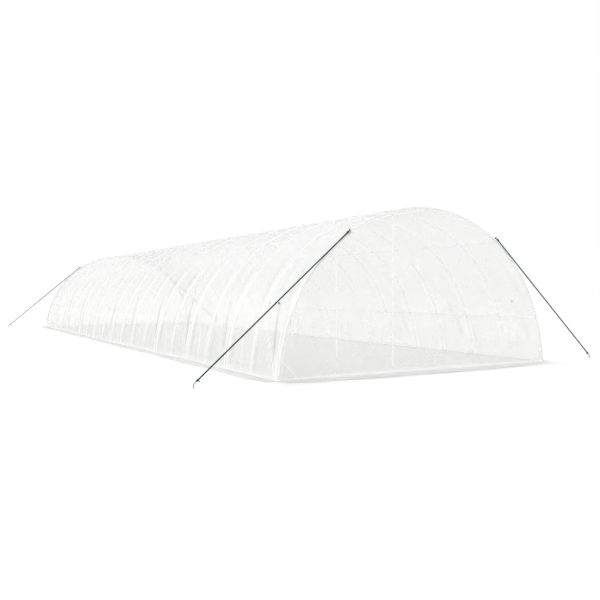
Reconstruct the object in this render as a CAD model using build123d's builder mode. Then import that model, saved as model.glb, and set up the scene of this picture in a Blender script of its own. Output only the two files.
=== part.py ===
"""Polytunnel greenhouse: tube hoops under a film cover, held down by guy ropes.

The origin is at the centre of the tunnel on the ground. X runs across it, Y runs
along it with the front end at minus Y, and Z is up.
"""
import os
from math import asin, cos, degrees, floor, radians, sin, sqrt

from build123d import *

os.makedirs("parts", exist_ok=True)

# Size of the tunnel
span = 5000.0  # across the outside of the hoops, at the ground
rise = 2400.0  # ground to the top of the hoops
length = 16000.0  # centre of the first hoop to centre of the last
bays = 20  # equal bays between the hoops

# Steel tube frame
tube_d = 25.0  # hoops, purlins, rails, sills and posts
round_sides = 8  # flats that stand for the round of a tube, rod or rope, a multiple of four
hoop_chords = 25  # short straights that stand for a hoop's bend, an odd number
seat = 0.3  # clearance where one piece rests on another
shoulder_purlin_angle = 56.0  # degrees up from the level, seen from the hoops' centre
side_purlin_angle = 20.0
brace_d = 16.0
brace_reach = 260.0  # along the sill and up the hoop from the corner
clamp_t = 2.0
clamp_w = 25.0

# Film
film_t = 2.0
cover_strips = 6  # lengths of film between the joints of the cover
side_flap = 280.0  # film lying on the ground along the sides
end_flap = 400.0  # film lying on the ground at the ends

# Guy ropes and pegs
rope_d = 18.0
rope_top_angle = 56.4  # degrees up from the level, seen from the hoops' centre
rope_top_out = 33.5  # outside the end hoop's centreline
rope_foot_out = 1155.0  # outside the hoops, at the ground
rope_foot_z = 60.0
peg_d = 10.0
peg_h = 75.0
peg_hook = 20.0
hanger_angle = 57.2  # place on the end hoop of the bolt that carries a rope
hanger_w = 24.0
hanger_t = 4.0

# Centreline of a hoop, one arc through both feet and the crown
foot_x = span / 2 - tube_d / 2
crown_z = rise - tube_d / 2
hoop_r = (foot_x**2 + crown_z**2) / (2 * crown_z)
hoop_z = crown_z - hoop_r  # height of the arc's centre
foot_angle = degrees(asin(-hoop_z / hoop_r))
chord_angle = (180 - 2 * foot_angle) / hoop_chords
bay = length / bays

# Planes where the end sheets stand, and the cover's inner surface
frame_end_y = length / 2 + tube_d / 2
cover_end_y = frame_end_y + seat
end_sheet_y = cover_end_y + film_t
cover_r = hoop_r + tube_d / 2 / cos(radians(chord_angle / 2)) + seat


def on_arc(radius, angle):
    """X and Z of a point seen at an angle from the hoops' centre."""
    return radius * cos(radians(angle)), hoop_z + radius * sin(radians(angle))


def arc_x(radius, height):
    """Half width at a height inside a circle round the hoops' centre."""
    return sqrt(radius**2 - (height - hoop_z) ** 2)


def chord_mid(angle):
    """Angle of the middle of the hoop's straight that holds an angle."""
    return foot_angle + (floor((angle - foot_angle) / chord_angle) + 0.5) * chord_angle


def round_section(diameter):
    """Section of a tube, rod or rope, with flats that touch its true circle."""
    RegularPolygon(diameter / 2, round_sides, major_radius=False, rotation=180 / round_sides)


def save(piece, name):
    piece.part.label = name
    export_step(piece.part, f"parts/{name}.step")


# Hoops: one bent tube, cut level at both feet where it stands on the base rails
with BuildPart() as hoop_shape:
    with BuildLine(Plane.XZ) as bend:
        Polyline(*[on_arc(hoop_r, foot_angle + i * chord_angle) for i in range(hoop_chords + 1)])
    with BuildSketch(Plane(origin=bend.line @ 0, x_dir=(0, 1, 0), z_dir=bend.line % 0)):
        round_section(tube_d)
    sweep(transition=Transition.RIGHT)
    split(bisect_by=Plane.XY.offset(tube_d + seat), keep=Keep.TOP)

hoop_ys = [i * bay - length / 2 for i in range(bays + 1)]
for i, y in enumerate(hoop_ys):
    with BuildPart() as hoop:
        with Locations((0, y, 0)):
            add(hoop_shape.part)
    save(hoop, f"hoop_{i + 1:02d}")

# Ridge and purlins: straight tubes run under the hoops from end to end
shoulder_angles = [shoulder_purlin_angle, 180 - shoulder_purlin_angle]
side_angles = [side_purlin_angle, 180 - side_purlin_angle]
runs = [("ridge_tube", [90]), ("shoulder_purlins", shoulder_angles), ("side_purlins", side_angles)]


def under_hoops(angle):
    """Place of a tube that lies against the inside of the hoops, its flats turned to theirs."""
    reach = hoop_r * cos(radians(chord_angle / 2)) - tube_d - seat
    radius = reach / cos(radians(angle - chord_mid(angle)))
    return Location((*on_arc(radius, angle), 0), (0, 0, chord_mid(angle)))


for name, angles in runs:
    with BuildPart() as tubes:
        with BuildSketch(Plane.XZ):
            with Locations(*[under_hoops(angle) for angle in angles]):
                round_section(tube_d)
        extrude(amount=frame_end_y, both=True)
    save(tubes, name)

# Clamps: a steel strap at each crossing, round the purlin and up to the hoop
strap_in = tube_d / 2 + seat
strap_out = strap_in + clamp_t
with BuildPart() as purlin_clamps:
    with BuildSketch(*[Plane.XZ.offset(-y - clamp_w / 2) for y in hoop_ys]):
        with Locations(*[under_hoops(angle) for name, angles in runs for angle in angles]):
            with Locations(((tube_d / 2 - strap_out) / 2, 0)):
                Rectangle(tube_d / 2 + strap_out, 2 * strap_out)
            with Locations(((tube_d / 2 - strap_in) / 2, 0)):
                Rectangle(tube_d / 2 + strap_in, 2 * strap_in, mode=Mode.SUBTRACT)
    extrude(amount=clamp_w)
save(purlin_clamps, "purlin_clamps")

# Base rails along both sides, under the hoops' feet
rail_x = arc_x(hoop_r, tube_d / 2)
with BuildPart() as base_rails:
    with BuildSketch(Plane.XZ):
        with Locations((-rail_x, tube_d / 2), (rail_x, tube_d / 2)):
            round_section(tube_d)
    extrude(amount=frame_end_y, both=True)
save(base_rails, "base_rails")

# End sills, between the rails at both ends
with BuildPart() as end_sills:
    with BuildSketch(Plane.YZ):
        with Locations((-length / 2, tube_d / 2), (length / 2, tube_d / 2)):
            round_section(tube_d)
    extrude(amount=rail_x - tube_d / 2 - seat, both=True)
save(end_sills, "end_sills")

# Centre posts under the ridge and its clamps, at every other hoop from the second
post_h = under_hoops(90).position.Y - strap_out - seat
with BuildPart() as centre_posts:
    with BuildSketch():
        with Locations(*[(0, y) for y in hoop_ys[1::2]]):
            round_section(tube_d)
    extrude(amount=post_h)
save(centre_posts, "centre_posts")

# Corner braces, clamped to the inner side of the end hoops and sills
brace_y = length / 2 - tube_d / 2 - brace_d / 2 - seat
brace_top_z = tube_d / 2 + brace_reach
brace_top_x = arc_x(hoop_r, brace_top_z)
with BuildPart() as corner_braces:
    for side in (-1, 1):
        for end in (-1, 1):
            top = Vector(side * brace_top_x, end * brace_y, brace_top_z)
            low = Vector(side * (brace_top_x - brace_reach), end * brace_y, tube_d / 2)
            with BuildSketch(Plane(origin=low, x_dir=(0, 1, 0), z_dir=top - low)):
                round_section(brace_d)
            extrude(amount=(top - low).length)
save(corner_braces, "corner_braces")

# Cover: film strips over the hoops, face to face at their joints
cover_foot = degrees(asin((film_t - hoop_z) / cover_r))
strip_angle = (180 - 2 * cover_foot) / cover_strips
for i in range(cover_strips):
    start = cover_foot + i * strip_angle
    with BuildPart() as strip:
        with BuildSketch(Plane.XZ):
            with BuildLine():
                inner = CenterArc((0, hoop_z), cover_r, start, strip_angle)
                outer = CenterArc((0, hoop_z), cover_r + film_t, start, strip_angle)
                Line(inner @ 0, outer @ 0)
                Line(inner @ 1, outer @ 1)
            make_face()
        extrude(amount=cover_end_y, both=True)
    save(strip, f"cover_strip_{i + 1}")

# End sheets: flat film that closes each end, out to the cover's outer surface
sheet_arc_r = cover_r + film_t
sheet_foot = degrees(asin((film_t - hoop_z) / sheet_arc_r))
for name, start_y in (("front_sheet", -end_sheet_y), ("back_sheet", cover_end_y)):
    with BuildPart() as sheet:
        with BuildSketch(Plane.XZ.offset(-start_y)):
            with BuildLine():
                edge = CenterArc((0, hoop_z), sheet_arc_r, sheet_foot, 180 - 2 * sheet_foot)
                Line(edge @ 1, edge @ 0)
            make_face()
        extrude(amount=-film_t)
    save(sheet, name)

# Flaps: the film's lower edge, lying on the ground outside the frame
flap_x = arc_x(cover_r, film_t)
with BuildPart() as side_flaps:
    with Locations((-flap_x - side_flap / 2, 0), (flap_x + side_flap / 2, 0)):
        Box(side_flap, 2 * end_sheet_y, film_t, align=(Align.CENTER, Align.CENTER, Align.MIN))
save(side_flaps, "side_flaps")

flap_y = cover_end_y + end_flap / 2
with BuildPart() as end_flaps:
    with Locations((0, -flap_y), (0, flap_y)):
        Box(2 * (flap_x - seat), end_flap, film_t, align=(Align.CENTER, Align.CENTER, Align.MIN))
save(end_flaps, "end_flaps")

# Hangers: flat links bolted over the end sheets to the end hoops, out to the ropes
corners = [("front_left", -1, -1), ("front_right", 1, -1), ("back_left", -1, 1), ("back_right", 1, 1)]
hanger_x, hanger_z = on_arc(hoop_r, hanger_angle)
hanger_y = end_sheet_y + seat
rope_top_x, rope_top_z = on_arc(hoop_r + rope_top_out, rope_top_angle)
with BuildPart() as rope_hangers:
    for name, side, end in corners:
        with BuildSketch(Plane.XZ.offset(-end * hanger_y)):
            with Locations((side * hanger_x, hanger_z), (side * rope_top_x, rope_top_z)):
                round_section(hanger_w)
            make_hull()
        extrude(amount=-end * hanger_t)
save(rope_hangers, "rope_hangers")

# Guy ropes: pulled straight from the hangers down to the pegs
rope_y = hanger_y + hanger_t + seat + rope_d / 2
rope_foot_x = span / 2 + rope_foot_out
for name, side, end in corners:
    top = Vector(side * rope_top_x, end * rope_y, rope_top_z)
    foot = Vector(side * rope_foot_x, end * rope_y, rope_foot_z)
    with BuildPart() as rope:
        with BuildSketch(Plane(origin=foot, x_dir=(0, 1, 0), z_dir=top - foot)):
            round_section(rope_d)
        extrude(amount=(top - foot).length)
    save(rope, f"guy_rope_{name}")

# Pegs: bent steel rod, seen from the ground up, hooked away from the tunnel
rope_rise = (rope_top_z - rope_foot_z) / (top - foot).length
peg_x = rope_foot_x + rope_d / 2 * rope_rise + seat + peg_d / 2
with BuildPart() as pegs:
    for name, side, end in corners:
        with BuildLine() as rod:
            Polyline(
                (side * peg_x, end * rope_y, 0),
                (side * peg_x, end * rope_y, peg_h),
                (side * (peg_x + peg_hook), end * rope_y, peg_h),
            )
        with BuildSketch(Plane(origin=rod.line @ 0, z_dir=(0, 0, 1))):
            round_section(peg_d)
        sweep(transition=Transition.RIGHT)
save(pegs, "pegs")
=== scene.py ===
"""Polytunnel greenhouse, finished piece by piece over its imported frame.

X runs across the tunnel, Y along it with the front end at minus Y, and Z is up, in metres.
"""
from math import radians

import bpy
import numpy as np
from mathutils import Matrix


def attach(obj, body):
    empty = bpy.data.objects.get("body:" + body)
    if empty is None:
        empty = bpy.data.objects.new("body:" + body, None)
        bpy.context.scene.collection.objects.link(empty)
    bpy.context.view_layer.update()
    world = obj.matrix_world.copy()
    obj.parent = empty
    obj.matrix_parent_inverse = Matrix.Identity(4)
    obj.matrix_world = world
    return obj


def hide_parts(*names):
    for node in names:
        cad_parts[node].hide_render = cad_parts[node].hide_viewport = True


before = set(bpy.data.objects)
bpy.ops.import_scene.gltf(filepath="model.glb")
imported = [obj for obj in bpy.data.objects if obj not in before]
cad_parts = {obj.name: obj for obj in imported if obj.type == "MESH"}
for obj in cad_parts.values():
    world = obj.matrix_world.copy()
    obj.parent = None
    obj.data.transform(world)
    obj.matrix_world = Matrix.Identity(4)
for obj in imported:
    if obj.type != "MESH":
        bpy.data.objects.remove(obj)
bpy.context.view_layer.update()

# The camera stands to the left of the front end, 1.16 m up, and looks level along the
# tunnel. The small shift puts the horizon where the photograph has it.
camera_data = bpy.data.cameras.new("camera")
camera_data.sensor_width = 36.0
camera_data.lens = 40.71
camera_data.shift_y = -0.01397
camera_data.clip_end = 300.0
camera = bpy.data.objects.new("camera", camera_data)
camera.location = (-6.689, -15.658, 1.158)
camera.rotation_euler = (radians(90), 0, radians(-30.53))
bpy.context.collection.objects.link(camera)
bpy.context.scene.camera = camera

# Base rails: galvanised steel tube 25 mm across, laid on the ground along both sides in
# lengths of 3.2 m. The end of each length is pressed narrower and pushed into the next.
tube_r = 0.0125
end_y = 8.0
rail_x = 2.48696
rail_length = 3.2
station_step = 0.4
swage_depth = 0.0012
swage_reach = 0.004


def surface(name, points, material, ring=False, capped=False, uv=None, flip=False, creases_and_painted_light=None):
    """One object through a grid of points, rows by columns, or through a stack of such grids.

    Each cell of a grid is one face. A ring joins its last column to its first, and caps
    close its first and last rows on their middle. The UV map, where given, is in metres, and
    gather is a number for each point that the film's material reads."""
    grids = points.reshape((-1,) + points.shape[-3:])
    count, rows, cols, _ = grids.shape
    number = np.arange(rows * cols).reshape(rows, cols)
    if ring:
        number = np.hstack([number, number[:, :1]])
    cells = [number[:-1, :-1], number[:-1, 1:], number[1:, 1:], number[1:, :-1]]
    faces = np.stack(cells, axis=-1).reshape(-1, 4)
    verts = grids.reshape(count, rows * cols, 3)
    if capped:
        ends = np.stack([grids[:, 0].mean(axis=1), grids[:, -1].mean(axis=1)], axis=1)
        verts = np.concatenate([verts, ends], axis=1)
        first, last = rows * cols, rows * cols + 1
        low = np.stack([number[0, 1:], number[0, :-1], np.full(number.shape[1] - 1, first)], -1)
        high = np.stack([number[-1, :-1], number[-1, 1:], np.full(number.shape[1] - 1, last)], -1)
        caps = np.concatenate([low, high])
        quads = verts[0][faces]
        middle = verts[0].mean(axis=0)
        facing = np.cross(quads[:, 2] - quads[:, 0], quads[:, 3] - quads[:, 1])
        flip = (facing * (quads.mean(axis=1) - middle)).sum() < 0
        caps = caps[:, ::-1] if flip else caps
    faces = faces[:, ::-1] if flip else faces
    step = verts.shape[1]
    shift = (np.arange(count) * step)[:, None, None]
    listed = (faces[None] + shift).reshape(-1, 4).tolist()
    if capped:
        listed += (caps[None] + shift).reshape(-1, 3).tolist()
    mesh = bpy.data.meshes.new(name)
    mesh.from_pydata(verts.reshape(-1, 3).tolist(), [], listed)
    mesh.shade_smooth()
    mesh.set_sharp_from_angle(angle=radians(38))
    if uv is not None:
        layer = mesh.uv_layers.new(name="metres")
        corner = np.empty(len(mesh.loops), dtype=np.int32)
        mesh.loops.foreach_get("vertex_index", corner)
        layer.data.foreach_set("uv", np.tile(uv.reshape(-1, 2), (count, 1))[corner].ravel())
    if creases_and_painted_light is not None:
        creases_and_painted_shade = mesh.attributes.new("creases_and_painted_light", "FLOAT", "POINT")
        creases_and_painted_shade.data.foreach_set("value", creases_and_painted_light.ravel())
    mesh.materials.append(material)
    piece = bpy.data.objects.new(name, mesh)
    bpy.context.collection.objects.link(piece)
    return piece


def tube(path, radius, side, around=16):
    """Points of a round tube: each row is a ring round a point of the path.

    A ring's point at angle a is the path's point plus radius times (cos a) times side plus
    (sin a) times the direction square to both side and the path. side is square to the path,
    and radius is one number, one for each ring, or one for each point of each ring."""
    path = np.asarray(path, dtype=float)
    run = np.gradient(path, axis=0)
    run /= np.linalg.norm(run, axis=1, keepdims=True)
    side = np.broadcast_to(side, path.shape)
    up = np.cross(run, side)
    turn = np.linspace(0, 2 * np.pi, around, endpoint=False)
    radius = np.broadcast_to(np.transpose(radius), (around, len(path))).T[..., None]
    return path[:, None] + radius * (
        np.cos(turn)[None, :, None] * side[:, None] + np.sin(turn)[None, :, None] * up[:, None]
    )


def swaged(stations, joints):
    """Radius of a tube at each station: a groove like a bell curve at each joint, where the
    narrowed end of one length goes into the next."""
    gap = np.abs(stations[:, None] - np.asarray(joints)[None]).min(axis=1)
    return tube_r - swage_depth * np.exp(-((gap / swage_reach) ** 2))


def stations_with(joints, low, high, step):
    """Places along a run: even ones from low to high, and close ones round each joint."""
    even = np.linspace(low, high, max(2, round((high - low) / step) + 1))
    close = np.asarray([-3, -2, -1, -0.4, 0.4, 1, 2, 3]) * swage_reach
    return np.unique(np.concatenate([even, (np.asarray(joints)[:, None] + close).ravel()]))


def node(tree, kind, values=None, settings=None, **links):
    """A shader node with its input values, its settings and its linked inputs."""
    made = tree.nodes.new(kind)
    for key, value in (settings or {}).items():
        setattr(made, key, value)
    for key, value in (values or {}).items():
        made.inputs[key].default_value = value
    for key, socket in links.items():
        name = key.replace("_", " ")
        target = made.inputs[int(key[1:])] if key[1:].isdigit() else made.inputs[name]
        tree.links.new(socket, target)
    return made


def metal(name, dark, light, shine, grain, metallic=1.0, bump=0.00012):
    """Metal whose colour goes from dark to light over a grain of so many spots a metre."""
    made = bpy.data.materials.new(name)
    made.use_nodes = True
    tree = made.node_tree
    shader = tree.nodes["Principled BSDF"]
    shader.inputs["Metallic"].default_value = metallic
    place = node(tree, "ShaderNodeTexCoord").outputs["Object"]
    spots = node(tree, "ShaderNodeTexNoise", {"Scale": grain, "Detail": 3.0}, Vector=place)
    cloud = node(tree, "ShaderNodeTexNoise", {"Scale": 3.0, "Detail": 2.0}, Vector=place)
    both = node(tree, "ShaderNodeMath", settings={"operation": "MULTIPLY_ADD"},
                values={1: 0.6}, i0=spots.outputs["Fac"], i2=cloud.outputs["Fac"])
    ramp = node(tree, "ShaderNodeValToRGB", Fac=both.outputs[0])
    ramp.color_ramp.elements[0].position, ramp.color_ramp.elements[1].position = 0.6, 1.0
    ramp.color_ramp.elements[0].color = (*dark, 1)
    ramp.color_ramp.elements[1].color = (*light, 1)
    tree.links.new(ramp.outputs["Color"], shader.inputs["Base Color"])
    rough = node(tree, "ShaderNodeMapRange", {"To Min": shine[0], "To Max": shine[1]},
                 Value=spots.outputs["Fac"])
    tree.links.new(rough.outputs[0], shader.inputs["Roughness"])
    dent = node(tree, "ShaderNodeBump", {"Distance": bump}, Height=spots.outputs["Fac"])
    tree.links.new(dent.outputs[0], shader.inputs["Normal"])
    return made


galvanised = metal("galvanised_tube", (0.96, 0.965, 0.97), (0.99, 0.99, 0.99), (0.28, 0.45),
                   260.0, metallic=0.1)
rail_joints = np.arange(-2, 3) * rail_length
rail_runs = stations_with(rail_joints, -end_y - tube_r, end_y + tube_r, station_step)
rails = np.stack([
    tube(np.stack([np.full_like(rail_runs, x), rail_runs, np.full_like(rail_runs, tube_r)], 1),
         swaged(rail_runs, rail_joints), (1, 0, 0))
    for x in (-rail_x, rail_x)
])
base_rails = surface("steel_base_rails", rails, galvanised, ring=True, capped=True)
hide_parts("base_rails")
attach(base_rails, "root")

# End sills: the same steel tube laid across each end between the rails, so that the frame
# is square at its feet. Each is two lengths with a swaged joint in the middle.
seat_gap = 0.0003
sill_end = rail_x - tube_r - seat_gap
sill_runs = stations_with([0.0], -sill_end, sill_end, station_step)
sills = np.stack([
    tube(np.stack([sill_runs, np.full_like(sill_runs, y), np.full_like(sill_runs, tube_r)], 1),
         swaged(sill_runs, [0.0]), (0, 1, 0))
    for y in (-end_y, end_y)
])
end_sills = surface("steel_end_sills", sills, galvanised, ring=True, capped=True)
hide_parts("end_sills")
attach(end_sills, "root")

# Hoops: galvanised tube bent to one round arc 5 m across, in five lengths swaged together.
# They stand 0.8 m apart on the base rails, with the first and last at the tunnel's ends.
hoop_r = 2.48955
hoop_z = -0.10205
hoop_foot = 0.0253
hoop_count = 21
hoop_lengths = 5
bend_step = 0.1
bay = 2 * end_y / (hoop_count - 1)
hoop_ys = np.arange(hoop_count) * bay - end_y
foot_turn = np.arcsin((hoop_foot - hoop_z) / hoop_r)
joint_turns = foot_turn + np.arange(1, hoop_lengths) / hoop_lengths * (np.pi - 2 * foot_turn)


def on_arc(radius, turn):
    """X and Z of points at a turn round the hoops' centre, from the right-hand ground up."""
    return radius * np.cos(turn), hoop_z + radius * np.sin(turn)


hoop_turns = stations_with(joint_turns * hoop_r, foot_turn * hoop_r,
                           (np.pi - foot_turn) * hoop_r, bend_step) / hoop_r
hoop_x, hoop_up = on_arc(hoop_r, hoop_turns)
for i, y in enumerate(hoop_ys):
    bend = np.stack([hoop_x, np.full_like(hoop_x, y), hoop_up], 1)
    ring_points = tube(bend, swaged(hoop_turns * hoop_r, joint_turns * hoop_r), (0, 1, 0))
    hoop = surface(f"steel_hoop_{i + 1:02d}", ring_points, galvanised, ring=True, capped=True)
    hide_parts(f"hoop_{i + 1:02d}")
    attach(hoop, "root")

# Foot tees: pressed steel sleeves that hold each hoop's foot on the base rail, one sleeve
# round the rail and one up round the hoop.
tee_r = 0.0136
tee_half = 0.035
tee_wall = 0.0009
tee_edge = 0.0015
tee_around = 12
tee_lie = tube_r + tee_wall
tee_stop = end_y + tube_r - tee_half - tee_edge
tee_up = np.array([0.008, 0.010, 0.060, 0.062])
tee_leg = np.array([0.9, 1.0, 1.0, 0.93]) * tee_r
tee_sleeve = np.array([0.92, 1, 1, 0.92]) * tee_lie
tee_along = np.array([-1, -1, 1, 1]) * tee_half + np.array([0, 0.001, -0.001, 0])
tee_grids = []
for side in (-1, 1):
    for y in hoop_ys:
        stand = np.clip(y, -tee_stop, tee_stop)
        leg_x = side * np.sqrt(hoop_r**2 - (tee_up - hoop_z) ** 2)
        leg = np.stack([leg_x, np.full_like(tee_up, y), tee_up], 1)
        tee_grids.append(tube(leg, tee_leg, (0, 1, 0), tee_around))
        lying = np.stack([np.full_like(tee_along, side * rail_x), stand + tee_along,
                          np.full_like(tee_along, tee_lie)], 1)
        tee_grids.append(tube(lying, tee_sleeve, (1, 0, 0), tee_around))
foot_tees = surface("steel_foot_tees", np.stack(tee_grids), galvanised, ring=True, capped=True)
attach(foot_tees, "root")

# Ridge tube and purlins: straight tubes that run the length of the tunnel against the
# inside of the hoops, one at the ridge, two at the shoulders and two at the sides.
purlin_gap = 0.0005
purlin_r = hoop_r - 2 * tube_r - purlin_gap
purlin_turns = {"ridge_tube": [90], "shoulder_purlins": [56, 124], "side_purlins": [20, 160]}
past_hoop = 1.25 * bay
purlin_joints = np.arange(-4, 4) * 2 * bay + past_hoop
purlin_runs = stations_with(purlin_joints, -end_y - tube_r, end_y + tube_r, station_step)
for name, turns in purlin_turns.items():
    lines = []
    for turn in turns:
        x, z = on_arc(purlin_r, radians(turn))
        line = np.stack([np.full_like(purlin_runs, x), purlin_runs, np.full_like(purlin_runs, z)], 1)
        lines.append(tube(line, swaged(purlin_runs, purlin_joints), (1, 0, 0)))
    purlin = surface(f"steel_{name}", np.stack(lines), galvanised, ring=True, capped=True)
    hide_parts(name)
    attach(purlin, "root")

# Strap clamps: at each of the 105 crossings a zinc-plated strap goes round the purlin and
# ends in two flat ears that are screwed up into the hoop.
zinc = metal("zinc_plate", (0.80, 0.81, 0.82), (0.93, 0.935, 0.94), (0.28, 0.5), 420.0,
             metallic=0.4)
strap_t = 0.002
strap_half = 0.0125
strap_hug = tube_r + seat_gap + strap_t / 2
ear_end, ear_root, ear_out = 0.038, 0.0165, 0.0115
ear_face = 0.0105
screw_at, screw_wide, screw_tall = 0.027, 0.0058, 0.0042
bow = np.linspace(0, np.pi, 9)
strap_across = np.concatenate([[-ear_end, -ear_root], -strap_hug * np.cos(bow),
                               [ear_root, ear_end]])
strap_out = np.concatenate([[ear_out, ear_out], -strap_hug * np.sin(bow), [ear_out, ear_out]])
strap_out[2] = strap_out[-3] = ear_face
turned = np.stack([np.gradient(strap_across), np.gradient(strap_out)], 1)
turned /= np.linalg.norm(turned, axis=1, keepdims=True)
square = np.stack([-turned[:, 1], turned[:, 0]], 1)
strap_path = np.stack([strap_across, strap_out], 1)
strap_edges = [(-1, -1), (-1, 1), (1, 1), (1, -1)]
hexagon = np.linspace(0, 2 * np.pi, 6, endpoint=False)


def hex_head(place, out, across, wide, tall):
    """Rings of one hexagon head: its foot, the edge of its top, and a top a little narrower."""
    rim = np.cos(hexagon)[:, None] * across + np.sin(hexagon)[:, None] * np.cross(out, across)
    return place + np.stack([wide * rim, wide * rim + 0.8 * tall * out,
                             0.86 * wide * rim + tall * out])


strap_grids, screw_grids = [], []
for turn in np.radians(sum(purlin_turns.values(), [])):
    across = np.array([np.sin(turn), 0, -np.cos(turn)])
    out = np.array([np.cos(turn), 0, np.sin(turn)])
    x, z = on_arc(purlin_r, turn)
    for y in hoop_ys:
        centre = np.array([x, y, z])
        edge_lines = [
            centre + (strap_path[:, :1] + thick * strap_t / 2 * square[:, :1]) * across
            + (strap_path[:, 1:] + thick * strap_t / 2 * square[:, 1:]) * out
            + np.array([0, wide * strap_half, 0])
            for thick, wide in strap_edges
        ]
        strap_grids.append(np.stack(edge_lines, axis=1))
        for ear in (-screw_at, screw_at):
            top = centre + ear * across + ear_face * out
            screw_grids.append(hex_head(top, -out, across, screw_wide, screw_tall))
clamps = surface("strap_clamps", np.stack(strap_grids), zinc, ring=True, capped=True)
screws = surface("clamp_screws", np.stack(screw_grids), zinc, ring=True, capped=True)
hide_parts("purlin_clamps")
for piece in (clamps, screws):
    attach(piece, "root")

# Joint screws: a small hexagon screw on the inside of each hoop holds each swaged joint.
past_joint = 0.016
head_sunk = 0.0006
head_wide, head_tall = 0.005, 0.004
joint_grids = []
for turn in joint_turns + past_joint / hoop_r:
    inward = -np.array([np.cos(turn), 0, np.sin(turn)])
    x, z = on_arc(hoop_r - tube_r + head_sunk, turn)
    head = hex_head(np.array([x, 0, z]), inward, np.array([0, 1.0, 0]), head_wide, head_tall)
    joint_grids += [head + np.array([0, y, 0]) for y in hoop_ys]
joint_screws = surface("hoop_joint_screws", np.stack(joint_grids), zinc, ring=True, capped=True)
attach(joint_screws, "root")

# Centre posts: ten upright tubes from the ground to the ridge, at every other hoop. Each is
# two lengths with a joint at 1.15 m, stands on a small steel foot plate and ends just under
# the strap of the ridge clamp.
post_ys = hoop_ys[1:-1:2]
cap_gap = 0.0008
post_top = hoop_z + purlin_r - tube_r - strap_t - cap_gap
post_rows = np.array([0.0, 0.004, 1.15, 1.1504, 1.153, 1.1534, post_top])
post_reach = tube_r * np.array([1, 1, 1, 0.94, 0.94, 1, 1])
post_around = 20
posts = np.stack([
    tube(np.stack([0 * post_rows, np.full_like(post_rows, y), post_rows], 1), post_reach,
         (1, 0, 0), post_around)
    for y in post_ys
])
centre_posts = surface("steel_centre_posts", posts, galvanised, ring=True, capped=True)
plate_ring = np.array([(0.036, 0.0), (0.036, 0.0026), (0.034, 0.0034), (0.0155, 0.0036),
                       (0.0142, 0.028), (0.0129, 0.0286)])
round_turn = np.linspace(0, 2 * np.pi, post_around, endpoint=False)
plates = np.stack([
    np.stack([np.stack([reach * np.cos(round_turn), y + reach * np.sin(round_turn),
                        np.full_like(round_turn, up)], 1) for reach, up in plate_ring])
    for y in post_ys
])
post_feet = surface("post_foot_plates", plates, galvanised, ring=True, capped=True)
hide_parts("centre_posts")
for piece in (centre_posts, post_feet):
    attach(piece, "root")

# Corner braces: short 16 mm tubes with flattened, bolted ends, one in each lower corner of
# the two end frames, from the sill up to the hoop.
brace_r = 0.008
brace_y = end_y - tube_r - brace_r - seat_gap
brace_span = 0.26
brace_flat = 0.32
brace_top = np.array([2.4615, 0.2725])
brace_low = brace_top - brace_span
brace_t = np.array([0.0, 0.03, 0.09, 0.14, 0.5, 0.86, 0.91, 0.97, 1.0])
flat = np.array([brace_flat, brace_flat, 0.5, 1, 1, 1, 0.5, brace_flat, brace_flat])
wide = np.array([1.0, 1.35, 1.25, 1, 1, 1, 1.25, 1.35, 1.0])
brace_turn = np.linspace(0, 2 * np.pi, 16, endpoint=False)
flat_shift = 0.004
bolt_out = 0.005
bolt_wide, bolt_tall = 0.0062, 0.005
brace_grids, brace_bolts = [], []
for side in (-1, 1):
    for end in (-1, 1):
        x = side * (brace_low[0] + brace_t * brace_span)
        z = brace_low[1] + brace_t * brace_span
        along = np.array([side, 0, 1]) / np.sqrt(2)
        cross = np.array([side, 0, -1]) / np.sqrt(2)
        middle = np.stack([x, np.full_like(x, end * brace_y), z], 1)
        middle[:, 1] += end * (1 - flat) * flat_shift
        brace_grids.append(
            middle[:, None]
            + (brace_r * wide)[:, None, None] * np.cos(brace_turn)[None, :, None] * cross
            + (brace_r * flat)[:, None, None] * np.sin(brace_turn)[None, :, None]
            * np.array([0, 1, 0])
        )
        for part in (0.045, 0.955):
            bolt = np.array([side * (brace_low[0] + part * brace_span),
                             end * (brace_y + bolt_out - brace_r * brace_flat),
                             brace_low[1] + part * brace_span])
            brace_bolts.append(hex_head(bolt, np.array([0, -end, 0.0]), along,
                                        bolt_wide, bolt_tall))
braces = surface("steel_corner_braces", np.stack(brace_grids), galvanised, ring=True, capped=True)
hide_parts("corner_braces")
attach(braces, "root")
bolts = surface("brace_bolts", np.stack(brace_bolts), zinc, ring=True, capped=True)
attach(bolts, "root")

# Cover: one sheet of clear woven polythene, 8.2 m by 16 m, pulled over the hoops. It hangs a
# little between them, gathers in pleats low on the walls, and lies on the ground outside.
film_rest = 0.0014
film_lift = 0.0015
cover_r = hoop_r + tube_r + film_rest
flap_reach = 0.28
foot_bend = 0.03
end_wrap = tube_r + film_rest
foot_z = foot_bend + film_lift
foot_stop = np.arcsin((foot_z - hoop_z) / cover_r)
half_reach = (np.pi / 2 - foot_stop) * cover_r
half_cut = half_reach + foot_bend * np.pi / 2 + flap_reach - foot_bend


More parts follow.
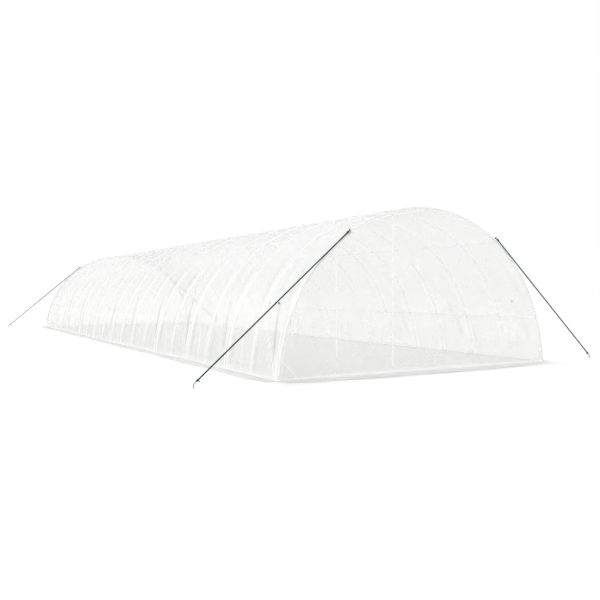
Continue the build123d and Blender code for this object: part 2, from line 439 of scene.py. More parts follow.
def film(name, see, tint, soil):
    """Clear polythene with a woven grid: see is how much it covers and soil the tint low down.

    The grid's threads stand every 10 mm both ways of the UV map. How much the film covers is
    a soft cloud, more on the threads, near the soiled ground and where a point attribute says.
    Up to 1 that attribute makes the film creased white, in places painted light, and down to -1
    it is painted darker, a painted shade in folds, on the flaps and on the shaded walls. Seen
    edge-on from outside it covers all, and above the shoulders its edge is painted dark, a
    painted shade that draws the roof line against the sky."""
    made = bpy.data.materials.new(name)
    made.use_nodes = True
    tree = made.node_tree
    shader = tree.nodes["Principled BSDF"]
    shader.inputs["Specular IOR Level"].default_value = 0.35
    lay = node(tree, "ShaderNodeUVMap", settings={"uv_map": "metres"}).outputs[0]
    ways = node(tree, "ShaderNodeSeparateXYZ", Vector=lay)
    fold = {"operation": "PINGPONG"}
    across = node(tree, "ShaderNodeMath", {1: 0.005}, fold, i0=ways.outputs["X"])
    along = node(tree, "ShaderNodeMath", {1: 0.005}, fold, i0=ways.outputs["Y"])
    near = node(tree, "ShaderNodeMath", settings={"operation": "MINIMUM"},
                i0=across.outputs[0], i1=along.outputs[0])
    thread = node(tree, "ShaderNodeMapRange",
                  {"From Min": 0.0004, "From Max": 0.0011, "To Min": 1.0, "To Max": 0.0},
                  {"interpolation_type": "SMOOTHSTEP"}, Value=near.outputs[0])
    place = node(tree, "ShaderNodeTexCoord").outputs["Object"]
    cloud = node(tree, "ShaderNodeTexNoise", {"Scale": 1.6, "Detail": 4.0, "Roughness": 0.55},
                 Vector=place)
    cover = node(tree, "ShaderNodeMapRange",
                 {"From Min": 0.3, "From Max": 0.7, "To Min": see - 0.05, "To Max": see + 0.05},
                 Value=cloud.outputs["Fac"])
    height = node(tree, "ShaderNodeSeparateXYZ", Vector=place).outputs["Z"]
    low = node(tree, "ShaderNodeMapRange",
               {"From Min": 0.0, "From Max": 0.5, "To Min": 1.0, "To Max": 0.0},
               {"interpolation_type": "SMOOTHSTEP"}, Value=height)
    # Reads the point attribute of creases and of painted light and shade on the film.
    crease_and_shade_attribute = node(tree, "ShaderNodeAttribute", settings={"attribute_name": "creases_and_painted_light"})
    white = node(tree, "ShaderNodeMapRange", Value=crease_and_shade_attribute.outputs["Fac"])
    painted_shade = node(tree, "ShaderNodeMapRange", {"From Max": -1.0}, Value=crease_and_shade_attribute.outputs["Fac"])
    facing = node(tree, "ShaderNodeLayerWeight", {"Blend": 0.5}).outputs["Facing"]
    slant = node(tree, "ShaderNodeMath", {1: 11.0}, {"operation": "POWER"}, i0=facing)
    inside = node(tree, "ShaderNodeNewGeometry").outputs["Backfacing"]
    outside = node(tree, "ShaderNodeMath", {0: 1.0}, {"operation": "SUBTRACT"}, i1=inside)
    graze = node(tree, "ShaderNodeMath", settings={"operation": "MULTIPLY"}, i0=slant.outputs[0],
                 i1=outside.outputs[0])
    # Painted shade: above 1.3 m the colour goes dark where the outer face is seen edge-on, and this
    # moves with the view.
    roof = node(tree, "ShaderNodeMapRange", {"From Min": 1.3, "From Max": 2.1},
                {"interpolation_type": "SMOOTHSTEP"}, Value=height)
    rim = node(tree, "ShaderNodeMath", {1: 1.5}, {"operation": "POWER"}, i0=graze.outputs[0])
    painted_rim_shade = node(tree, "ShaderNodeMath", settings={"operation": "MULTIPLY"},
                   i0=rim.outputs[0], i1=roof.outputs[0])
    alpha = cover
    for share, part in ((0.03, thread), (0.05, low), (0.40, white), (0.44, painted_shade), (1.0, graze)):
        alpha = node(tree, "ShaderNodeMath", {1: share}, {"operation": "MULTIPLY_ADD"},
                     i0=part.outputs[0], i2=alpha.outputs[0])
    tree.links.new(alpha.outputs[0], shader.inputs["Alpha"])
    colour = node(tree, "ShaderNodeMix", {6: (*tint, 1), 7: (*soil, 1)}, {"data_type": "RGBA"},
                  i0=low.outputs[0])
    # The colour goes to creased white, to a darker tone for painted shade, and to near black for the
    # painted shade of the roof's edge.
    for shade, part in (((0.94, 0.94, 0.935), white), ((0.50, 0.505, 0.495), painted_shade),
                        ((0.16, 0.165, 0.16), painted_rim_shade)):
        colour = node(tree, "ShaderNodeMix", {7: (*shade, 1)}, {"data_type": "RGBA"},
                      i0=part.outputs[0], i6=colour.outputs[2])
    tree.links.new(colour.outputs[2], shader.inputs["Base Color"])
    rough = node(tree, "ShaderNodeMapRange", {"To Min": 0.28, "To Max": 0.42},
                 Value=cloud.outputs["Fac"])
    tree.links.new(rough.outputs[0], shader.inputs["Roughness"])
    crease = node(tree, "ShaderNodeTexNoise", {"Scale": 7.0, "Detail": 2.0, "Distortion": 0.6},
                  Vector=place)
    ripple = node(tree, "ShaderNodeBump", {"Distance": 0.004, "Strength": 0.10},
                  Height=crease.outputs["Fac"])
    bump = node(tree, "ShaderNodeBump", {"Distance": 0.00003},
                Height=thread.outputs[0], Normal=ripple.outputs[0])
    tree.links.new(bump.outputs[0], shader.inputs["Normal"])
    return made


clear_film = film("clear_film", 0.28, (0.815, 0.815, 0.81), (0.79, 0.78, 0.745))


def smooth(value, low, high):
    """Goes from 0 at low to 1 at high, flat at both ends: 3 t squared less 2 t cubed."""
    t = np.clip((value - low) / (high - low), 0, 1)
    return t * t * (3 - 2 * t)


def cover_line(reach):
    """X, Z and outward direction of the cover's section at a reach from the ridge, in metres.

    The section is the round arc over the hoops, a quarter circle where it meets the ground,
    and a flat run along the ground. Reach is negative on the left-hand side."""
    far = np.abs(reach)
    side = np.sign(reach)
    turn = np.pi / 2 - np.minimum(far, half_reach) / cover_r
    x, z = on_arc(cover_r, turn)
    nx, nz = np.cos(turn), np.sin(turn)
    corner = np.clip((far - half_reach) / foot_bend, 0, np.pi / 2)
    foot_x = cover_r * np.cos(foot_stop)
    past = far > half_reach
    x = np.where(past, foot_x + foot_bend * (1 - np.cos(corner)), x)
    z = np.where(past, foot_z - foot_bend * np.sin(corner), z)
    nx = np.where(past, np.cos(corner), nx)
    nz = np.where(past, np.sin(corner), nz)
    flat_run = np.maximum(far - half_reach - foot_bend * np.pi / 2, 0)
    return side * (x + flat_run), z, side * nx, nz, flat_run


low_wall = 1.3
side_rows = np.concatenate([
    np.linspace(0, half_reach - low_wall, 16, endpoint=False),
    np.linspace(half_reach - low_wall, half_reach, 16, endpoint=False),
    np.linspace(half_reach, half_reach + foot_bend * np.pi / 2, 4, endpoint=False),
    np.linspace(half_reach + foot_bend * np.pi / 2, half_cut, 8),
])
cover_rows = np.concatenate([-side_rows[:0:-1], side_rows])
wrap = np.linspace(np.pi / 2, 0, 5)
inner = np.linspace(-end_y, end_y, 1001)
cover_cols = np.concatenate([-end_y - end_wrap * np.sin(wrap[:-1]), inner,
                             end_y + end_wrap * np.sin(wrap[-2::-1])])
drop = np.concatenate([end_wrap * (1 - np.cos(wrap[:-1])), 0 * inner,
                       end_wrap * (1 - np.cos(wrap[-2::-1]))])
reach, along = np.meshgrid(cover_rows, cover_cols, indexing="ij")
x, z, nx, nz, on_ground = cover_line(reach)
bay_part = np.mod(np.clip(along, -end_y, end_y) + end_y, bay) / bay
sag = 4 * bay_part * (1 - bay_part)
left = reach < 0
standing = on_ground <= 0
wall = smooth(np.abs(reach), half_reach - 1.25, half_reach - 0.25) * standing
tuck = smooth(np.abs(reach), half_reach + 0.02, half_reach - 0.35)
sag_depth = 0.006
push = -(sag_depth + sag_depth * wall) * sag * tuck

# Each row is one pleat: its place in a pair of bays, its foot and its head above the ground,
# how far it leans with height, its half width, how far it stands out, and how white it is.
# Below nought the pleat is painted darker instead, a painted shade along the fold.
pleats = (
    (0.02, 0.00, 0.90, 0.02, 0.022, 0.008, 0.8), (0.11, 0.00, 0.75, 0.05, 0.024, 0.008, 0.8),
    (0.18, 0.02, 0.50, 0.10, 0.012, 0.005, 0.4), (0.31, 0.25, 1.20, 0.30, 0.040, -0.018, -0.9),
    (0.50, 0.12, 0.60, 0.10, 0.080, -0.008, -0.3), (0.68, 0.03, 0.62, -0.03, 0.055, -0.014, -0.6),
    (0.83, 0.00, 0.80, 0.04, 0.024, 0.008, 0.7), (0.94, 0.10, 0.55, 0.12, 0.016, 0.005, 0.35),
    (1.16, 0.05, 0.60, 0.20, 0.026, 0.006, 0.45), (1.34, 1.15, 1.70, 0.05, 0.150, -0.008, -0.25),
    (1.50, 0.10, 0.72, 0.03, 0.045, -0.014, -0.8), (0.05, 0.80, 1.50, 0.06, 0.070, 0.006, 0.6),
    (0.25, 0.30, 0.90, 0.25, 0.045, -0.004, -0.5), (0.24, 0.95, 1.70, 0.12, 0.060, -0.006, -0.6),
    (1.02, 0.95, 1.70, 0.12, 0.060, -0.006, -0.55), (0.84, 0.85, 1.60, 0.06, 0.060, 0.006, 0.5),
    (0.62, 1.10, 1.75, 0.15, 0.080, -0.004, -0.35),
)

# The corner folds fan up the wall from the foot of each end: their slope and how white.
corner_folds = ((0.80, 0.7), (0.40, 0.5), (1.30, 0.4))
corner_width, corner_depth = 0.017, 0.006
right_share = 0.25
rng = np.random.default_rng(7)
creases_and_painted_light = np.zeros_like(along)
for side in (-1, 1):
    for start in np.arange(-1, 10) * 2 * bay - end_y:
        for place, foot, head, lean, width, depth, white in pleats:
            size = rng.uniform(0.7, 1.2) * (1.0 if side < 0 else right_share)
            line = start + place + rng.uniform(-0.03, 0.03) + lean * (z - (foot + head) / 2)
            rise = smooth(z, foot - 0.02, foot + 0.12) * smooth(z, head, head - 0.25)
            fold = rise * size * np.exp(-(((along - line) / width) ** 2)) * (np.sign(reach) == side)
            push += depth * tuck * fold
            # Below nought the fold is painted darker: painted shade along it.
            creases_and_painted_light += white * fold
    for end in (-1, 1):
        for slope, white in corner_folds:
            line = end * (end_y - 0.02 - slope * z)
            rise = smooth(z, 0.0, 0.06) * smooth(z, 0.95, 0.35) * (np.sign(reach) == side)
            fold = rise * np.exp(-(((along - line) / corner_width) ** 2))
            push += corner_depth * tuck * fold
            creases_and_painted_light += white * fold

# The flaps rise and fall in waves that grow towards their free edge, and the edge wanders.
flap_part = np.clip(on_ground / (flap_reach - foot_bend), 0, 1)
wave = (np.sin(along * 5.1 + 0.7 * np.sin(along * 1.7)) * 0.5
        + np.sin(along * 13.3 + 1.9 * np.sin(along * 2.9)) * 0.3 + 0.8)
lift = 0.009 * flap_part * wave * (0.4 + 0.6 * flap_part)
edge_out = (0.028 * np.sin(along * 2.3 + np.sin(along * 0.9)) - 0.045
            - 0.06 * smooth(np.abs(along), 7.5, 8.0)) * flap_part
shrink = np.broadcast_to(drop, along.shape) * standing * tuck
push = push * (np.abs(along) <= end_y)

# Besides the pleats, the film is whiter where it meets the ground and at the back on the right.
# Painted light makes it whiter along the hoops, except high on the left where painted shade makes
# them darker, and whiter all over the left wall, more so from 0.5 to 1.2 m up. Painted shade makes
# it darker at the left shoulder, on the front half of the right wall and in patches on the flaps,
# more towards their outer edge and on the left.
from_hoop = (0.5 - np.abs(bay_part - 0.5)) * bay
# Painted light along the hoops, turning to painted shade high on the left.
hoop_band = np.where(left, 0.16 - 0.28 * smooth(z, 1.3, 1.7), 0.18 + 0.34 * smooth(z, 2.1, 1.6))
creases_and_painted_light += hoop_band * np.exp(-((from_hoop / np.where(left, 0.032, 0.045)) ** 2))
# Painted shade at the left shoulder and on the front half of the right wall.
creases_and_painted_light -= np.where(left, 0.12 * smooth(z, 1.15, 1.4) * smooth(z, 2.25, 1.9),
                   (0.06 + 0.10 * smooth(z, 1.5, 0.8)) * smooth(along, 2.5, -0.5))
# Painted light on the left wall, more from 0.5 to 1.2 m up; the right is whiter at the back.
creases_and_painted_light += np.where(left, 0.07, 0) * smooth(z, 0.5, 0.65) * smooth(z, 1.2, 1.0)
creases_and_painted_light += np.where(left, 0.07, 0.45 * smooth(along, 4.2, 6.0))
creases_and_painted_light *= standing
creases_and_painted_light += 0.8 * smooth(z, 0.05, 0.02) * standing
# Painted shade on the flaps, darkest towards their outer edge.
creases_and_painted_light -= smooth(on_ground, 0.0, 0.02) * np.where(left, 1.0, 0.3) * (
    0.02 + 0.13 * flap_part**2 + 0.06 * np.sin(along * 6.1 + 2 * np.sin(along)))
points = np.stack([
    x + nx * (push - shrink) + np.sign(reach) * edge_out,
    along,
    z + nz * (push - shrink) + lift,
], axis=-1)
cover = surface("film_cover", points, clear_film, uv=np.stack([reach, along], -1),
                creases_and_painted_light=np.clip(creases_and_painted_light, -1, 1))
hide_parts(*[f"cover_strip_{i}" for i in range(1, 7)], "side_flaps")
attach(cover, "root")

# End sheets: flat film that closes each end, joined to the cover along the end hoop. Each
# goes down outside the sill, turns out and lies on the ground as a flap up to 0.385 m wide.
end_flap = 0.385
sheet_y = end_y + end_wrap
sheet_stop = 0.0505
sheet_cols = 161
top_x, top_z = on_arc(hoop_r, np.linspace(np.pi - sheet_stop, sheet_stop, sheet_cols))
up_rows = np.concatenate([np.linspace(1, 0.35, 22, endpoint=False), np.linspace(0.35, 0, 18)])
bend_rows = np.linspace(0, np.pi / 2, 5)[1:]
out_rows = np.linspace(0, 1, 11)[1:]
sheet_bend = 0.022
swell_depth, ripple_depth, frill_height = 0.016, 0.0035, 0.008
for name, node_name, end in (("film_front_sheet", "front_sheet", -1),
                             ("film_back_sheet", "back_sheet", 1)):
    # Upright, each column runs straight from the hoop down to the bend, and the film between
    # swells inwards in slow waves with small ripples that die out towards its edges.
    x_up = np.broadcast_to(top_x, (len(up_rows), sheet_cols))
    base = sheet_bend + film_lift
    z_up = base + up_rows[:, None] * np.maximum(top_z - base, 0.002)
    from_edge = hoop_r - np.hypot(x_up, z_up - hoop_z)
    free = smooth(from_edge, 0.03, 0.5) * smooth(z_up, 0.05, 0.5)
    swell = -swell_depth * free * (0.6 + 0.4 * np.sin(1.9 * x_up + 0.8) * np.cos(2.3 * z_up))
    ripple = ripple_depth * free * np.sin(7.0 * x_up + 2.0 * np.sin(1.3 * z_up + x_up))
    y_up = end * (sheet_y + swell + ripple)

    # The bend is a quarter circle, and the flap's edge draws back in a curve at the corners.
    x_bend = np.broadcast_to(top_x, (len(bend_rows), sheet_cols))
    y_bend = end * (sheet_y + sheet_bend * (1 - np.cos(bend_rows)))[:, None]
    z_bend = (base - sheet_bend * np.sin(bend_rows))[:, None]
    x_out = np.broadcast_to(top_x, (len(out_rows), sheet_cols))
    bow = 0.115 * smooth(np.abs(x_out), 0.9, 2.2) + 0.10 * smooth(np.abs(x_out), 2.1, 2.5)
    far = out_rows[:, None] * (end_flap - sheet_bend - bow)
    frill = (np.sin(4.3 * x_out + 0.6) * 0.5 + np.sin(11.0 * x_out + np.sin(3 * x_out)) * 0.3 + 0.8)
    y_out = end * (sheet_y + sheet_bend + far + 0.01 * np.sin(2.1 * x_out) * out_rows[:, None])
    z_out = film_lift + frill_height * frill * out_rows[:, None] ** 1.5
    sheet_points = np.stack([
        np.concatenate([x_up, x_bend, x_out]),
        np.concatenate([y_up, np.broadcast_to(y_bend, x_bend.shape), y_out]),
        np.concatenate([z_up, np.broadcast_to(z_bend, x_bend.shape), z_out]),
    ], axis=-1)
    down = np.concatenate([np.zeros((1, sheet_cols)), np.cumsum(np.linalg.norm(
        np.diff(sheet_points, axis=0), axis=-1), axis=0)])
    lay = np.stack([sheet_points[..., 0], down - down[len(up_rows) - 1]], -1)

    # The film is white where it meets the ground and where it touches the braces, and whiter all
    # over at the back. On the flap and in the lower left corner it is painted darker, a painted
    # shade.
    sx, sz = sheet_points[..., 0], sheet_points[..., 2]
    on_floor = np.concatenate([0 * up_rows, 0 * bend_rows, 0.6 + 0.2 * out_rows])[:, None]
    upright = on_floor == 0
    creases_and_painted_shade = 0.8 * smooth(sz, 0.05, 0.02) * upright
    # Painted shade on the flap, in waves across it.
    creases_and_painted_shade -= on_floor * (0.54 + 0.09 * np.sin(top_x * 5.3 + 1.4))
    creases_and_painted_shade += (0.45 if end > 0 else 0) * upright
    from_brace = np.abs(sx) - brace_low[0] - (sz - brace_low[1])
    on_brace = smooth(sz, 0.03, 0.05) * smooth(sz, 0.29, 0.26) * upright
    creases_and_painted_shade += 1.1 * on_brace * np.exp(-((from_brace / 0.016) ** 2))
    # Painted shade in the lower left corner.
    creases_and_painted_shade -= 0.30 * smooth(-sx, 1.6, 2.3) * smooth(sz, 0.75, 0.2) * upright
    end_sheet = surface(name, sheet_points, clear_film, uv=lay, flip=end < 0, creases_and_painted_light=creases_and_painted_shade)
    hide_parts(node_name, "end_flaps")
    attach(end_sheet, "root")

# Arch hems: the joint of cover and end sheet, a doubled band of film folded round the end
# hoop and welded along both edges.
hem_film = film("hem_film", 0.42, (0.88, 0.88, 0.875), (0.88, 0.88, 0.86))
hem_lift = 0.0012
hem_pucker = 0.0012
hem_stop = 0.0515
hem_turns = np.linspace(np.pi - hem_stop, hem_stop, 181)
hem_in = np.array([0.040, 0.020, 0.004])
hem_down = np.array([-0.010, -0.022, -0.034])
hem_bend = np.linspace(0, np.pi / 2, 5)
hem_y = np.concatenate([end_y - hem_in, end_y + (end_wrap + hem_lift) * np.sin(hem_bend),
                        np.full(3, end_y + end_wrap + hem_lift)])
hem_off = np.concatenate([np.full(3, end_wrap + hem_lift), (end_wrap + hem_lift) * np.cos(hem_bend),
                          hem_down])
hem_width = np.concatenate([[0], np.cumsum(np.hypot(np.diff(hem_y), np.diff(hem_off)))])
hem_lay = np.stack(np.broadcast_arrays(hem_width[:, None], hem_turns[None] * hoop_r), -1)
pucker = hem_pucker * np.sin(hem_turns * 61.0) * np.sin(hem_turns * 17.0)
hem_radius = hoop_r + hem_off[:, None] + pucker[None] * (np.abs(hem_off[:, None]) > 0.012)
hem_x, hem_z = on_arc(hem_radius, hem_turns[None])
for name, end in (("film_front_hem", -1), ("film_back_hem", 1)):
    hem_points = np.stack([hem_x, np.broadcast_to(end * hem_y[:, None], hem_x.shape), hem_z], -1)
    hem = surface(name, hem_points, hem_film, uv=hem_lay, flip=end > 0)
    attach(hem, "root")

# Guy ropes: four ropes of dark green polypropylene, 20 mm across and laid in three strands,
# pulled straight from the end hoops down to the pegs beside each corner.
rope_r = 0.0102
rope_y = 8.0284
rope_top = np.array([1.3962, 1.9994])
rope_foot = np.array([3.655, 0.060])
rope_pitch = 0.05
rope_rings = 480
rope_around = 18
rope_girth = 0.0377
hook_short = 0.052
green_rope = bpy.data.materials.new("green_rope")
green_rope.use_nodes = True
rope_tree = green_rope.node_tree
rope_shader = rope_tree.nodes["Principled BSDF"]
rope_shader.inputs["Roughness"].default_value = 0.7
rope_shader.inputs["Specular IOR Level"].default_value = 0.2
rope_place = node(rope_tree, "ShaderNodeUVMap", settings={"uv_map": "metres"}).outputs[0]
rope_map = node(rope_tree, "ShaderNodeMapping", {"Scale": (900.0, 60.0, 1.0)}, Vector=rope_place)
fibre = node(rope_tree, "ShaderNodeTexNoise", {"Scale": 1.0, "Detail": 3.0},
             Vector=rope_map.outputs[0])
rope_ramp = node(rope_tree, "ShaderNodeValToRGB", Fac=fibre.outputs["Fac"])
rope_ramp.color_ramp.elements[0].color = (0.002, 0.026, 0.016, 1)
rope_ramp.color_ramp.elements[1].color = (0.006, 0.072, 0.047, 1)
rope_tree.links.new(rope_ramp.outputs["Color"], rope_shader.inputs["Base Color"])
rope_bump = node(rope_tree, "ShaderNodeBump", {"Distance": 0.0004}, Height=fibre.outputs["Fac"])
rope_tree.links.new(rope_bump.outputs[0], rope_shader.inputs["Normal"])


def laid_rope(path, side):
    """Points of a three-strand rope, and its length up to each ring: a tube whose radius rises
    and falls by the cosine of three times the angle, turning once in each pitch."""
    length = np.concatenate([[0], np.cumsum(np.linalg.norm(np.diff(path, axis=0), axis=1))])
    turn = np.linspace(0, 2 * np.pi, rope_around, endpoint=False)
    lobe = 0.92 + 0.08 * np.cos(3 * (turn - 2 * np.pi * length[:, None] / rope_pitch))
    return tube(path, rope_r * lobe, side, rope_around), length


def coil(start, run, out, turns, radius, thick, around=10):
    """A rope's turns round a line: start plus run over the length, and out and its partner
    times the cosine and sine of the angle, which goes through so many whole turns."""
    part = np.linspace(0, 1, int(turns * 16) + 1)[:, None]
    angle = part * turns * 2 * np.pi
    partner = np.cross(run / np.linalg.norm(run), out)
    round_line = np.cos(angle) * out + np.sin(angle) * partner
    path = start + part * run + radius * round_line
    ends = np.clip(np.minimum(part, 1 - part)[:, 0] * 30, 0.35, 1)
    return tube(path, thick * ends, round_line, around)


corners = {"front_left": (-1, -1), "front_right": (1, -1), "back_left": (-1, 1),
           "back_right": (1, 1)}
rope_run = (rope_foot - rope_top) / np.linalg.norm(rope_foot - rope_top)
hook_start = rope_foot - hook_short * rope_run
rope_line = rope_top + (hook_start - rope_top) * np.linspace(0.004, 1, rope_rings)[:, None]
round_rope = np.linspace(0, rope_girth, rope_around)
sideways = np.array([0, 1.0, 0])
knot_turns, knot_long, knot_r, knot_thick = 3, 0.036, 0.0085, 0.006
eye_reach, eye_offset, eye_r, eye_thick = 0.030, 0.002, 0.0125, 0.0062
tail_near, tail_far, tail_thick = 0.006, 0.034, 0.005
knot_grids, eye_grids, tail_grids = [], [], []
for name, (side, end) in corners.items():
    rope_path = np.stack([side * rope_line[:, 0], np.full(rope_rings, end * rope_y),
                          rope_line[:, 1]], 1)
    strands, length = laid_rope(rope_path, sideways)
    lay = np.stack(np.broadcast_arrays(round_rope[None], length[:, None]), -1)
    lay = np.concatenate([lay.reshape(-1, 2), [[0, 0], [0, 0]]])
    rope = surface(f"rope_{name}", strands, green_rope, ring=True, capped=True, uv=lay)
    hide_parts(f"guy_rope_{name}")
    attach(rope, "root")
    run3 = np.array([side * rope_run[0], 0, rope_run[1]])
    top3 = np.array([side * rope_top[0], end * rope_y, rope_top[1]])
    knot3 = np.array([side * hook_start[0], end * rope_y, hook_start[1]])
    for start in (knot3 - knot_long / 2 * run3, top3 + eye_reach * run3):
        knot_grids.append(coil(start, knot_long * run3, sideways, knot_turns, knot_r, knot_thick))
    eye_grids.append(coil(top3, eye_offset * sideways, run3, 1, eye_r, eye_thick))
    tail = np.cross(sideways, run3) * side
    tail_path = knot3 + np.linspace(tail_near, tail_far, 6)[:, None] * (tail - 0.4 * run3)
    tail_grids.append(tube(tail_path, tail_thick, sideways, 10))
for name, grids in (("rope_knots", knot_grids), ("rope_eyes", eye_grids),
                    ("rope_tails", tail_grids)):
    piece = surface(name, np.stack(grids), green_rope, ring=True, capped=True)
    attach(piece, "root")

# Rope hangers: flat zinc-plated links outside the end sheets. Each is bolted to the end hoop
# and carries the rope's eye on a pin with a washer.
link_in, link_out = 8.0153, 8.0193
link_r = 0.012
pin_out = 0.0182
bolt_at = np.array(on_arc(hoop_r, radians(57.2)))
link_run = (rope_top - bolt_at) / np.linalg.norm(rope_top - bolt_at)
link_turn = np.linspace(0, 2 * np.pi, 28, endpoint=False)
link_round = np.stack([np.cos(link_turn), np.sin(link_turn)], 1)
link_end = np.where((link_round @ link_run > 0)[:, None], rope_top, bolt_at)
link_rings = ((0.9, 0.0), (1.0, 0.15), (1.0, 0.85), (0.9, 1.0))
pin_rings = ((0.0045, 0.0), (0.0045, 0.0165), (0.0095, 0.0166), (0.0095, pin_out))
link_grids, pin_grids, hanger_bolts = [], [], []
for side, end in corners.values():
    link_grids.append(np.stack([
        np.stack([side * (link_end[:, 0] + grow * link_r * link_round[:, 0]),
                  np.full_like(link_turn, end * (link_in + deep * (link_out - link_in))),
                  link_end[:, 1] + grow * link_r * link_round[:, 1]], 1)
        for grow, deep in link_rings
    ]))
    pin_grids.append(np.stack([
        np.stack([side * rope_top[0] + reach * np.cos(round_turn),
                  np.full_like(round_turn, end * (link_out + deep)),
                  rope_top[1] + reach * np.sin(round_turn)], 1)
        for reach, deep in pin_rings
    ]))
    for at, depth, wide, tall in ((rope_top, link_out + pin_out, 0.0065, 0.004),
                                  (bolt_at, link_out, 0.0075, 0.005)):
        hanger_bolts.append(hex_head(np.array([side * at[0], end * depth, at[1]]),
                                     np.array([0, end, 0.0]), np.array([1.0, 0, 0]), wide, tall))
links = surface("hanger_links", np.stack(link_grids), zinc, ring=True, capped=True)
pins = surface("hanger_pins", np.stack(pin_grids), zinc, ring=True, capped=True)
hanger_heads = surface("hanger_bolts", np.stack(hanger_bolts), zinc, ring=True, capped=True)
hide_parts("rope_hangers")
for piece in (links, pins, hanger_heads):
    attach(piece, "root")

# Pegs: bent steel rods driven into the ground. The bent arm points up along the rope, and
# the rope's last turns are knotted round its end.
peg_r = 0.007
peg_x = 3.6662
peg_bend = 0.014
peg_rows = 4
bend_below = 0.004
arm_near, arm_far = 0.01, 0.055
dull_steel = metal("dull_steel", (0.13, 0.135, 0.14), (0.34, 0.345, 0.35), (0.35, 0.6), 300.0,
                   metallic=0.6)
bend_from = np.arctan2(rope_run[0], -rope_run[1])
peg_corner = rope_top + rope_run * (peg_x - rope_top[0]) / rope_run[0]
bend_reach = peg_bend * np.tan(bend_from / 2)
bend_turn = np.linspace(0, bend_from, 7)
bend_x = peg_x - peg_bend * (1 - np.cos(bend_turn))
bend_z = peg_corner[1] - bend_reach + peg_bend * np.sin(bend_turn)
bend_end = peg_corner - bend_reach * rope_run
peg_line = np.concatenate([
    np.stack([np.full(peg_rows, peg_x),
              np.linspace(0, peg_corner[1] - bend_reach - bend_below, peg_rows)], 1),
    np.stack([bend_x, bend_z], 1),
    bend_end[None] - np.linspace(arm_near, arm_far, peg_rows)[:, None] * rope_run,
])
peg_reach = peg_r * np.r_[0.9, np.ones(len(peg_line) - 2), 0.9]
peg_grids = []
for side, end in corners.values():
    path = np.stack([side * peg_line[:, 0], np.full(len(peg_line), end * rope_y), peg_line[:, 1]], 1)
    peg_grids.append(tube(path, peg_reach, (0, 1, 0), 14))
peg_piece = surface("bent_pegs", np.stack(peg_grids), dull_steel, ring=True, capped=True)
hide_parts("pegs")
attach(peg_piece, "root")

# Cover fasteners: near each corner a black button and two black eyelets, 1 m up the wall,
# fix the edge of the cover.
black_plastic = metal("black_plastic", (0.012, 0.012, 0.013), (0.03, 0.03, 0.032), (0.4, 0.6),
                      180.0, metallic=0.0)
button_rings = ((0.016, -0.001), (0.016, 0.004), (0.0135, 0.007), (0.007, 0.0085))
eyelet_r, eyelet_t, eyelet_sunk = 0.0075, 0.0022, 0.001
eyelet_rings = [(eyelet_r + eyelet_t * np.cos(a), eyelet_t * np.sin(a) - eyelet_sunk)
                for a in np.linspace(0, 2 * np.pi, 9)]
button_in, eyelets_in = 0.43, (0.70, 0.79)
fastener_z = 1.0
wall_turn = np.arcsin((fastener_z - hoop_z) / cover_r)
wall_out = np.array([np.cos(wall_turn), 0, np.sin(wall_turn)])
wall_up = np.array([-np.sin(wall_turn), 0, np.cos(wall_turn)])
wall_ways = (np.cos(round_turn)[:, None] * np.array([0, 1, 0])
             + np.sin(round_turn)[:, None] * wall_up)
wall_x, wall_z = on_arc(cover_r, wall_turn)
button_grids, eyelet_grids = [], []
for side, end in corners.values():
    for from_end, grids, rings in ((button_in, button_grids, button_rings),
                                   (eyelets_in[0], eyelet_grids, eyelet_rings),
                                   (eyelets_in[1], eyelet_grids, eyelet_rings)):
        place = np.array([wall_x, end * (end_y - from_end), wall_z])
        grids.append(np.array([side, 1, 1]) * np.stack([
            place + reach * wall_ways + height * wall_out for reach, height in rings]))
buttons = surface("cover_buttons", np.stack(button_grids), black_plastic, ring=True, capped=True)
eyelets = surface("cover_eyelets", np.stack(eyelet_grids), black_plastic, ring=True)
for piece in (buttons, eyelets):
    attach(piece, "root")

# Ground and light: a white floor that keeps the tunnel's soft shadow under it and glows faintly
# beyond the flaps, a painted light that lifts that shadow around the tunnel, a bright even sky,
# and one wide lamp high on the left that shapes the walls.
floor_material = bpy.data.materials.new("white_floor")
floor_material.use_nodes = True
floor_tree = floor_material.node_tree
floor_shader = floor_tree.nodes["Principled BSDF"]
floor_shader.inputs["Base Color"].default_value = (0.78, 0.78, 0.775, 1)
floor_shader.inputs["Roughness"].default_value = 0.9
floor_shader.inputs["Specular IOR Level"].default_value = 0.0
floor_shader.inputs["Emission Color"].default_value = (1, 1, 1, 1)
floor_place = node(floor_tree, "ShaderNodeTexCoord").outputs["Object"]
floor_away = node(floor_tree, "ShaderNodeVectorMath", settings={"operation": "ABSOLUTE"},
                  i0=floor_place)
floor_ways = node(floor_tree, "ShaderNodeSeparateXYZ", Vector=floor_away.outputs[0])
# Painted light: on camera rays alone the floor glows from under the flaps outwards, fading further
# off, so the tunnel's shadow stays only under it.
floor_glow = 0.13
glow_side, glow_end, fade_side = (2.52, 2.82), (8.38, 8.6), (3.2, 4.8)
floor_side = node(floor_tree, "ShaderNodeMapRange",
                  {"From Min": glow_side[0], "From Max": glow_side[1], "To Max": floor_glow},
                  Value=floor_ways.outputs["X"])
floor_end = node(floor_tree, "ShaderNodeMapRange",
                 {"From Min": glow_end[0], "From Max": glow_end[1], "To Max": floor_glow},
                 Value=floor_ways.outputs["Y"])
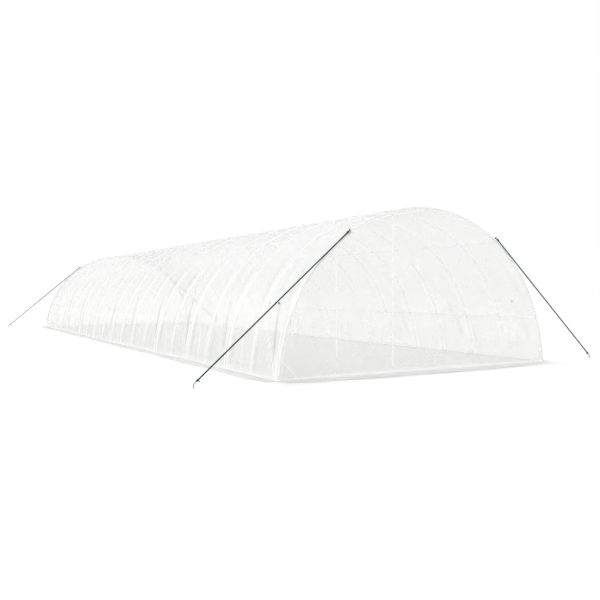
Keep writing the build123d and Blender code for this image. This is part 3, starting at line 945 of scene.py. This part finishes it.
floor_round = node(floor_tree, "ShaderNodeMath", settings={"operation": "MAXIMUM"},
                   i0=floor_side.outputs[0], i1=floor_end.outputs[0])
floor_far = node(floor_tree, "ShaderNodeMapRange",
                 {"From Min": fade_side[0], "From Max": fade_side[1], "To Min": 1.0, "To Max": 0.3},
                 Value=floor_ways.outputs["X"])
floor_faded = node(floor_tree, "ShaderNodeMath", settings={"operation": "MULTIPLY"},
                   i0=floor_round.outputs[0], i1=floor_far.outputs[0])
floor_rays = node(floor_tree, "ShaderNodeLightPath")
floor_seen = node(floor_tree, "ShaderNodeMath", settings={"operation": "MULTIPLY"},
                  i0=floor_faded.outputs[0], i1=floor_rays.outputs["Is Camera Ray"])
floor_tree.links.new(floor_seen.outputs[0], floor_shader.inputs["Emission Strength"])
floor_size = 120.0
floor_points = np.array([[[-1, -1, 0], [1, -1, 0]], [[-1, 1, 0], [1, 1, 0]]]) * floor_size
floor = surface("floor", floor_points, floor_material)

world = bpy.data.worlds.new("studio")
bpy.context.scene.world = world
world.use_nodes = True
sky = world.node_tree.nodes["Background"]
rays = node(world.node_tree, "ShaderNodeLightPath")
direct = node(world.node_tree, "ShaderNodeMath", settings={"operation": "MAXIMUM"},
              i0=rays.outputs["Is Camera Ray"], i1=rays.outputs["Is Glossy Ray"])
seen = node(world.node_tree, "ShaderNodeMath", settings={"operation": "MAXIMUM"},
            i0=direct.outputs[0], i1=rays.outputs["Is Transmission Ray"])
strength = node(world.node_tree, "ShaderNodeMapRange", {"To Min": 1.15, "To Max": 1.0},
                Value=seen.outputs[0])
world.node_tree.links.new(strength.outputs[0], sky.inputs["Strength"])
sky.inputs["Color"].default_value = (1, 1, 1, 1)

lamp_data = bpy.data.lights.new("key_lamp", "SUN")
lamp_data.energy = 0.6
lamp_data.angle = radians(25)
lamp = bpy.data.objects.new("key_lamp", lamp_data)
lamp.rotation_euler = (radians(23), radians(-48), 0)
bpy.context.collection.objects.link(lamp)

bpy.context.scene.view_settings.view_transform = "Standard"
